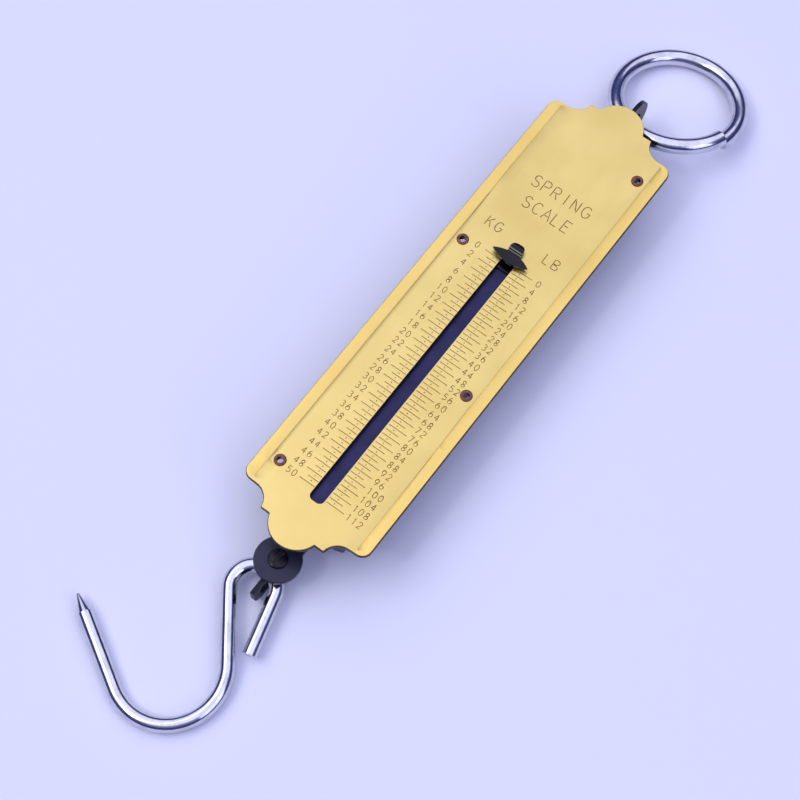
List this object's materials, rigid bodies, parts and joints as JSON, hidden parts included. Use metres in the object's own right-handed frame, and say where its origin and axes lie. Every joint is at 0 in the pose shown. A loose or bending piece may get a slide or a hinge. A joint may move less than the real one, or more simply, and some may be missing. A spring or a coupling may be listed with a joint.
{
  "type": "hanging spring balance",
  "caption": "Flat hanging spring balance: ogee-ended brass scale plate on a black pressed case, slotted scale with pointer, wire ring at the top and wire load hook below.",
  "frame": {"origin": "on the flat of the case back, mid-width and mid-length of the scale plate, where the balance lies on a table", "axes": "+Z out of the scale plate, +Y along the case towards the ring, +X towards the pound side of the scale"},
  "size_m": [0.081, 0.3193, 0.0262],
  "materials": {
    "scale_brass": "rolled, engraved, aged satin",
    "case_japan": "black japanned pressed steel",
    "plate_steel": "plain steel, lightly oxidised",
    "eyelet_copper": "coppered eyelets, dull",
    "rivet_black": "black painted rivets",
    "rail_blued": "blued steel strip",
    "tab_black": "black finished steel plate",
    "ring_nickel": "nickel plated wire",
    "spring_steel": "oiled spring wire",
    "bar_black": "black finished steel, semi-gloss",
    "tongue_black": "black glossy bent steel",
    "rivet_bright": "plain steel rivets",
    "pointer_black": "black pointer",
    "collar_steel": "worn black steel collar",
    "hook_nickel": "nickel plated wire"
  },
  "bodies": {
    "case": {"face_plate": "scale_brass", "case_back": "case_japan", "anchor_plate": "plate_steel", "guide_plate": "plate_steel", "eyelets": "eyelet_copper", "side_rivets": "rivet_black", "rail_rivets": "rivet_black", "guide_rail": "rail_blued", "hanger_tab": "tab_black", "spring": "spring_steel", "spring_plug_top": "plate_steel"},
    "ring": {"ring": "ring_nickel"},
    "load": {"load_bar": "bar_black", "spring_plug_low": "plate_steel", "carriage": "tongue_black", "carriage_rivets": "rivet_bright", "pointer": "pointer_black", "load_tab": "tab_black", "tenon_collar": "collar_steel"},
    "hook": {"hook": "hook_nickel"}
  },
  "joints": [
    {"name": "load_slide", "type": "slide", "parent": "case", "child": "load", "axis": [0, -1, 0], "range_m": [0, 0.1047], "stiffness_N_per_m": 4760, "deforming": ["spring"]},
    {"name": "ring_swing", "type": "hinge", "parent": "case", "child": "ring", "pos_m": [0, 0.1026, 0.012], "axis": [1, 0, 0], "range_deg": [-80, 120]},
    {"name": "hook_swing", "type": "hinge", "parent": "load", "child": "hook", "pos_m": [0, -0.1059, 0.0062], "axis": [1, 0, 0], "range_deg": [-20, 100]}
  ]
}
